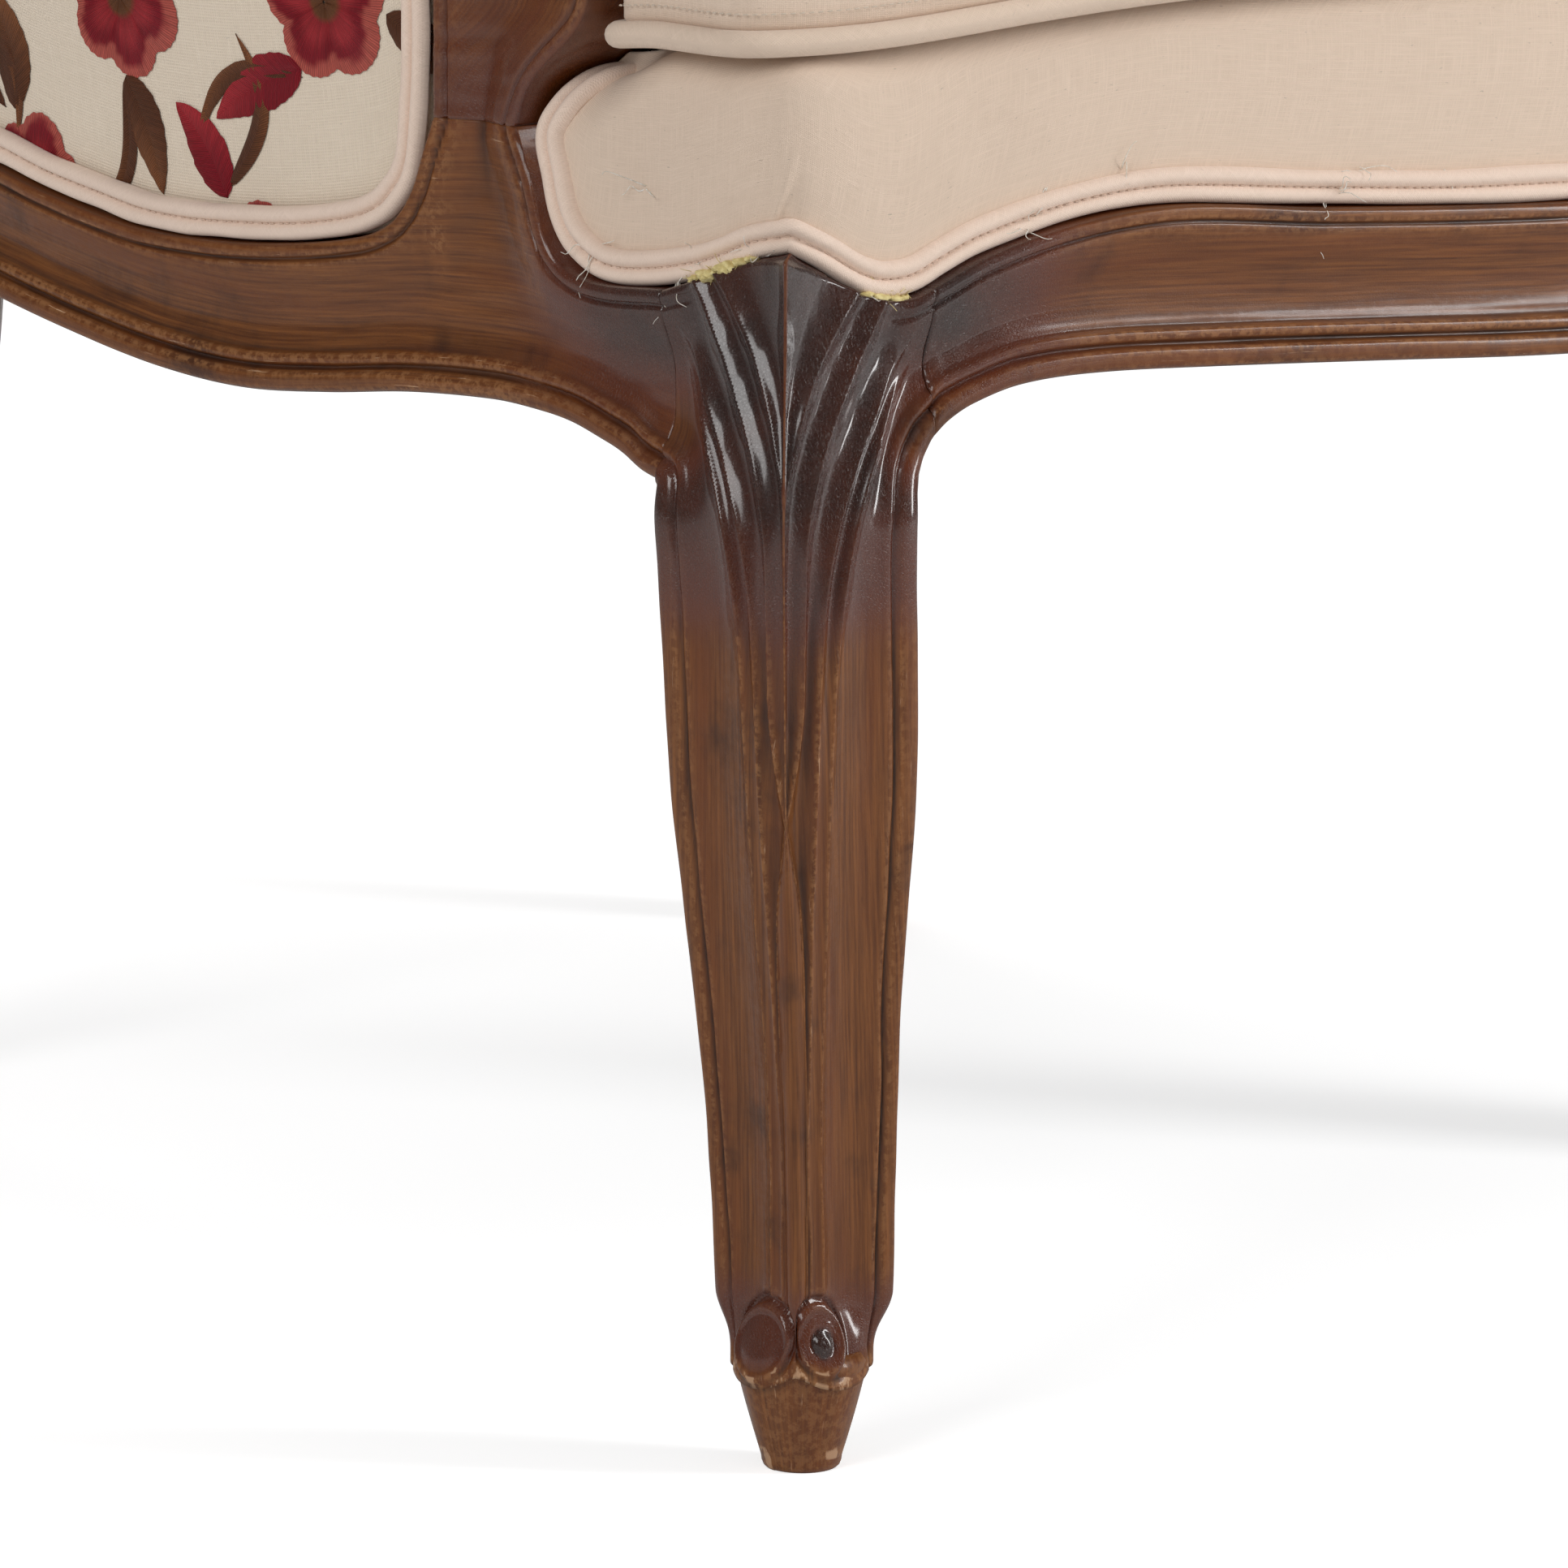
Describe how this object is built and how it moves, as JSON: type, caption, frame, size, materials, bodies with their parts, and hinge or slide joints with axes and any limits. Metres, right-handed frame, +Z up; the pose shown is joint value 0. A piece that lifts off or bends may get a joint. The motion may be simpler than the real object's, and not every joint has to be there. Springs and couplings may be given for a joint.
{
  "type": "tub chair",
  "caption": "Upholstered tub chair with a carved walnut show frame, cabriole front legs, a rounded back, padded arms and a loose T-shaped seat cushion.",
  "frame": {"origin": "on the floor, below the middle of the chair's plan", "axes": "+Z up; the chair faces -Y; +X is towards the sitter's left arm, the chair is symmetric across X = 0; left and right in the names are as seen from the front"},
  "size_m": [0.706, 0.717, 0.9151],
  "materials": {
    "walnut": "carved walnut, dark glaze in the recesses, glossy varnish",
    "beech": "plain planed beech",
    "linen": "plain cream linen",
    "embroidery": "cream linen with crimson and brown satin-stitch embroidery",
    "welt": "cream linen double welt and piping",
    "jute": "woven jute webbing and hessian",
    "stuffing": "felted cotton and hair stuffing",
    "steel": "plain drawn wire, screws and tacks",
    "cambric": "black cambric"
  },
  "bodies": {
    "frame": {"front_leg_left": "walnut", "front_leg_right": "walnut", "back_leg_left": "walnut", "back_leg_right": "walnut", "front_rail": "walnut", "side_rail_left": "walnut", "side_rail_right": "walnut", "back_rail": "walnut", "arm_post_left": "walnut", "arm_post_right": "walnut", "arm_rail_left": "walnut", "arm_rail_right": "walnut", "crest_rail": "walnut", "frame_dowels": "beech", "corner_blocks": "beech", "corner_block_screws": "steel", "tack_rail_left": "beech", "tack_rail_right": "beech", "tack_rail_back": "beech", "seat_webbing": "jute", "seat_springs": "steel", "seat_hessian": "jute", "seat_stuffing": "stuffing", "front_edge_roll": "stuffing", "deck_lining": "linen", "deck_cover": "linen", "deck_welt": "welt", "dust_cover": "cambric", "dust_cover_tacks": "steel", "tub_webbing": "jute", "tub_stuffing": "stuffing", "tub_cover": "linen", "tub_welt": "welt", "outside_cover_left": "embroidery", "outside_cover_right": "embroidery", "outside_cover_back": "embroidery", "outside_welt_left": "welt", "outside_welt_right": "welt", "outside_welt_back": "welt", "arm_pad_left": "embroidery", "arm_pad_right": "embroidery", "arm_pad_welt_left": "welt", "arm_pad_welt_right": "welt"},
    "seat_cushion": {"cushion_filling": "stuffing", "cushion_cover": "linen", "cushion_piping": "welt"}
  },
  "joints": [
    {"name": "cushion_lift", "type": "slide", "parent": "frame", "child": "seat_cushion", "axis": [0, -0.9397, 0.342], "range_m": [0, 0.7]}
  ]
}
